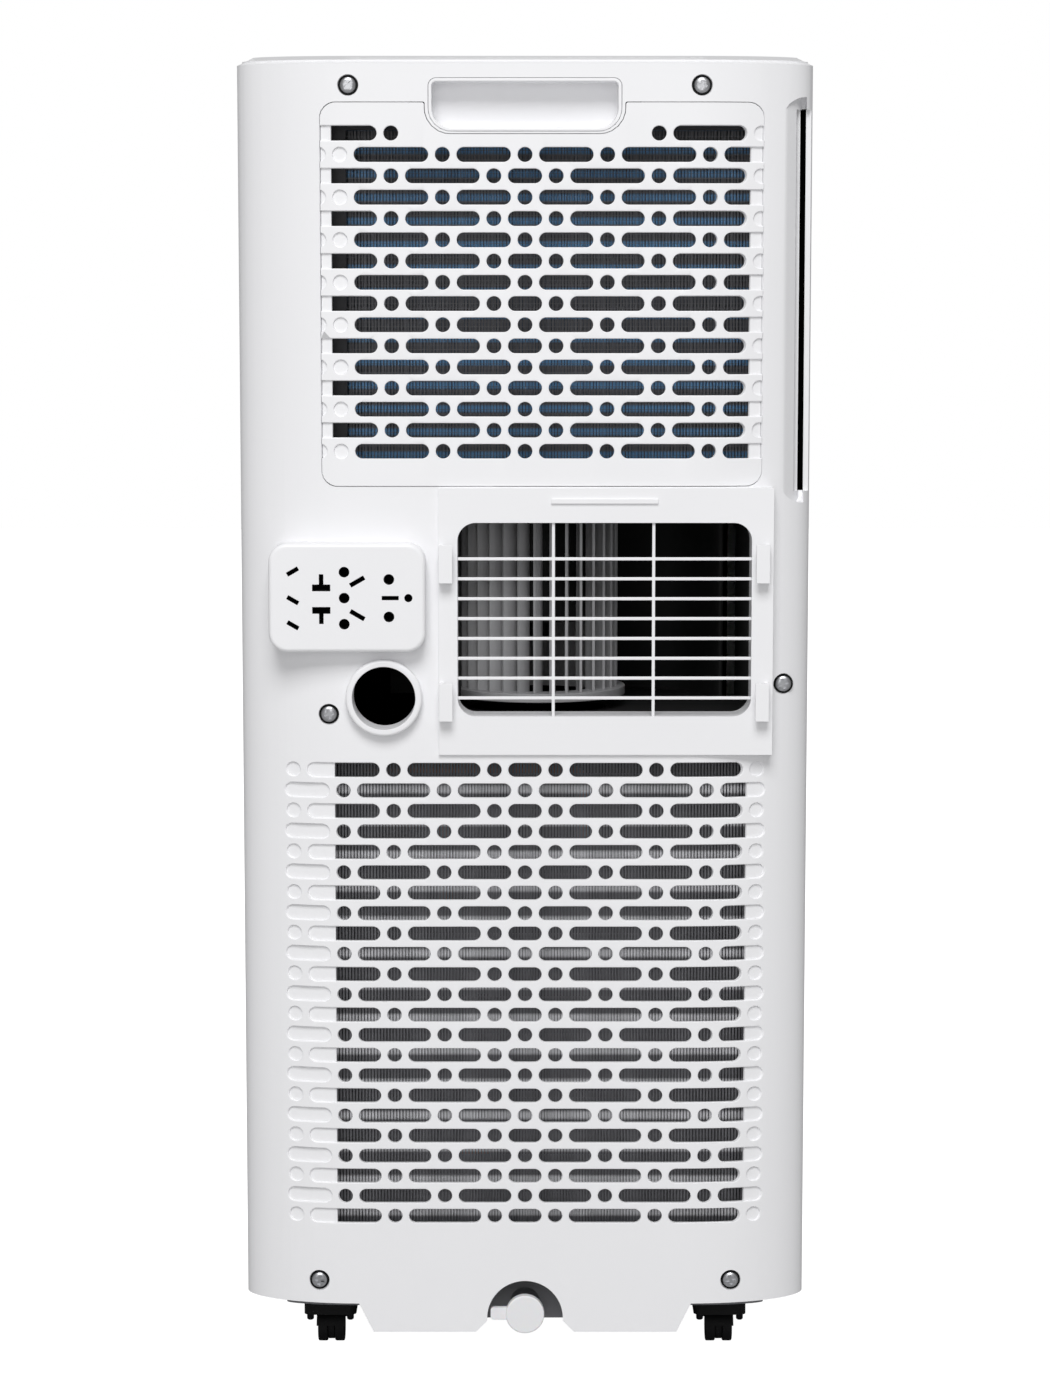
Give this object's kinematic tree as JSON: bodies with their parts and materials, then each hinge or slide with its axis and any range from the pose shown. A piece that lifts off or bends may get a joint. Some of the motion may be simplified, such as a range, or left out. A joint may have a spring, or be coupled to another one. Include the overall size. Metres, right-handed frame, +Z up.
{
  "type": "portable air conditioner",
  "caption": "Compact portable air conditioner with slotted rear intake grilles, side filter, hooked exhaust outlet, plug holder and twin-wheel casters.",
  "frame": {"origin": "on the floor at the middle of the whole box", "axes": "+Z up, +Y out of the rear face with the intake grilles and the exhaust outlet, +X to the left seen from behind"},
  "size_m": [0.3, 0.315, 0.69],
  "materials": {
    "white_case": "fine satin moulded ABS",
    "panel_gloss": "smooth light grey plate",
    "display_lens": "smoked display lens",
    "board_green": "lacquered circuit board",
    "dark_plastic": "matte dark moulding",
    "black_plastic": "matte black moulding",
    "button_plastic": "satin button cap",
    "cap_rubber": "soft white drain plug",
    "grommet_rubber": "black rubber",
    "filter_plastic": "dark grey moulding",
    "mesh_fabric": "fine dark mesh",
    "wheel_plastic": "dark grey moulded wheel",
    "fin_aluminium": "thin fin sheet",
    "copper_tube": "drawn copper tube",
    "screw_steel": "zinc plated screw",
    "shaft_steel": "ground steel shaft",
    "motor_steel": "galvanised motor can",
    "box_steel": "galvanised sheet",
    "compressor_paint": "black paint",
    "capacitor_aluminium": "drawn can"
  },
  "bodies": {
    "case": {"rear_shell": "white_case", "intake_grille": "white_case", "handle_cup": "white_case", "exhaust_frame": "white_case", "exhaust_guard": "white_case", "plug_holder": "white_case", "cord_port": "white_case", "case_screws": "screw_steel", "front_shell": "white_case", "top_cover": "white_case", "control_panel": "panel_gloss", "display_window": "display_lens", "control_board": "board_green", "base_pan": "dark_plastic", "caster_plates": "black_plastic", "caster_screws": "screw_steel", "filter_housing": "dark_plastic", "evaporator_fins": "fin_aluminium", "evaporator_tubes": "copper_tube", "condenser_fins": "fin_aluminium", "condenser_tubes": "copper_tube", "exhaust_scroll": "dark_plastic", "exhaust_motor": "motor_steel", "middle_deck": "dark_plastic", "cold_scroll": "dark_plastic", "cold_motor": "motor_steel", "air_duct": "white_case", "guide_vanes": "white_case", "swing_motor": "motor_steel", "compressor": "compressor_paint", "compressor_feet": "grommet_rubber", "accumulator": "compressor_paint", "refrigerant_pipes": "copper_tube", "filter_drier": "copper_tube", "control_box": "box_steel", "main_board": "board_green", "run_capacitor": "capacitor_aluminium"},
    "filter": {"filter_frame": "filter_plastic", "filter_mesh": "mesh_fabric"},
    "drain_cap": {"drain_cap": "cap_rubber"},
    "outlet_flap": {"outlet_flap": "white_case"},
    "exhaust_wheel": {"exhaust_wheel": "wheel_plastic", "exhaust_shaft": "shaft_steel"},
    "cold_wheel": {"cold_wheel": "wheel_plastic", "cold_shaft": "shaft_steel"},
    "button_power": {"button_power": "button_plastic"},
    "button_mode": {"button_mode": "button_plastic"},
    "button_speed": {"button_speed": "button_plastic"},
    "button_timer": {"button_timer": "button_plastic"},
    "button_down": {"button_down": "button_plastic"},
    "button_up": {"button_up": "button_plastic"},
    "caster_fork_rear_left": {"caster_fork_rear_left": "black_plastic"},
    "caster_wheel_rear_left": {"caster_wheel_rear_left": "black_plastic"},
    "caster_fork_rear_right": {"caster_fork_rear_right": "black_plastic"},
    "caster_wheel_rear_right": {"caster_wheel_rear_right": "black_plastic"},
    "caster_fork_front_left": {"caster_fork_front_left": "black_plastic"},
    "caster_wheel_front_left": {"caster_wheel_front_left": "black_plastic"},
    "caster_fork_front_right": {"caster_fork_front_right": "black_plastic"},
    "caster_wheel_front_right": {"caster_wheel_front_right": "black_plastic"}
  },
  "joints": [
    {"name": "filter_slide", "type": "slide", "parent": "case", "child": "filter", "axis": [-1, 0, 0], "range_m": [0, 0.22]},
    {"name": "drain_cap_pull", "type": "slide", "parent": "case", "child": "drain_cap", "axis": [0, 1, 0], "range_m": [0, 0.02]},
    {"name": "flap_hinge", "type": "hinge", "parent": "case", "child": "outlet_flap", "pos_m": [0, -0.1515, 0.609], "axis": [1, 0, 0], "range_deg": [0, 70]},
    {"name": "exhaust_spin", "type": "hinge", "parent": "case", "child": "exhaust_wheel", "pos_m": [-0.007, 0.0655, 0.4], "axis": [0, 0, 1], "continuous": true},
    {"name": "cold_spin", "type": "hinge", "parent": "case", "child": "cold_wheel", "pos_m": [0, 0.04, 0.566], "axis": [0, 1, 0], "continuous": true},
    {"name": "button_power_press", "type": "slide", "parent": "case", "child": "button_power", "axis": [0, 0, -1], "range_m": [0, 0.0012], "stiffness_N_per_m": 400, "springref_m": -0.001},
    {"name": "button_mode_press", "type": "slide", "parent": "case", "child": "button_mode", "axis": [0, 0, -1], "range_m": [0, 0.0012], "stiffness_N_per_m": 400, "springref_m": -0.001},
    {"name": "button_speed_press", "type": "slide", "parent": "case", "child": "button_speed", "axis": [0, 0, -1], "range_m": [0, 0.0012], "stiffness_N_per_m": 400, "springref_m": -0.001},
    {"name": "button_timer_press", "type": "slide", "parent": "case", "child": "button_timer", "axis": [0, 0, -1], "range_m": [0, 0.0012], "stiffness_N_per_m": 400, "springref_m": -0.001},
    {"name": "button_down_press", "type": "slide", "parent": "case", "child": "button_down", "axis": [0, 0, -1], "range_m": [0, 0.0012], "stiffness_N_per_m": 400, "springref_m": -0.001},
    {"name": "button_up_press", "type": "slide", "parent": "case", "child": "button_up", "axis": [0, 0, -1], "range_m": [0, 0.0012], "stiffness_N_per_m": 400, "springref_m": -0.001},
    {"name": "caster_rear_left_swivel", "type": "hinge", "parent": "case", "child": "caster_fork_rear_left", "pos_m": [0.1054, 0.1085, 0.015], "axis": [0, 0, 1], "continuous": true},
    {"name": "caster_rear_left_roll", "type": "hinge", "parent": "caster_fork_rear_left", "child": "caster_wheel_rear_left", "pos_m": [0.1054, 0.1055, 0.0086], "axis": [1, 0, 0], "continuous": true},
    {"name": "caster_rear_right_swivel", "type": "hinge", "parent": "case", "child": "caster_fork_rear_right", "pos_m": [-0.1054, 0.1085, 0.015], "axis": [0, 0, 1], "continuous": true},
    {"name": "caster_rear_right_roll", "type": "hinge", "parent": "caster_fork_rear_right", "child": "caster_wheel_rear_right", "pos_m": [-0.1054, 0.1055, 0.0086], "axis": [1, 0, 0], "continuous": true},
    {"name": "caster_front_left_swivel", "type": "hinge", "parent": "case", "child": "caster_fork_front_left", "pos_m": [0.1054, -0.1205, 0.015], "axis": [0, 0, 1], "continuous": true},
    {"name": "caster_front_left_roll", "type": "hinge", "parent": "caster_fork_front_left", "child": "caster_wheel_front_left", "pos_m": [0.1054, -0.1235, 0.0086], "axis": [1, 0, 0], "continuous": true},
    {"name": "caster_front_right_swivel", "type": "hinge", "parent": "case", "child": "caster_fork_front_right", "pos_m": [-0.1054, -0.1205, 0.015], "axis": [0, 0, 1], "continuous": true},
    {"name": "caster_front_right_roll", "type": "hinge", "parent": "caster_fork_front_right", "child": "caster_wheel_front_right", "pos_m": [-0.1054, -0.1235, 0.0086], "axis": [1, 0, 0], "continuous": true}
  ]
}
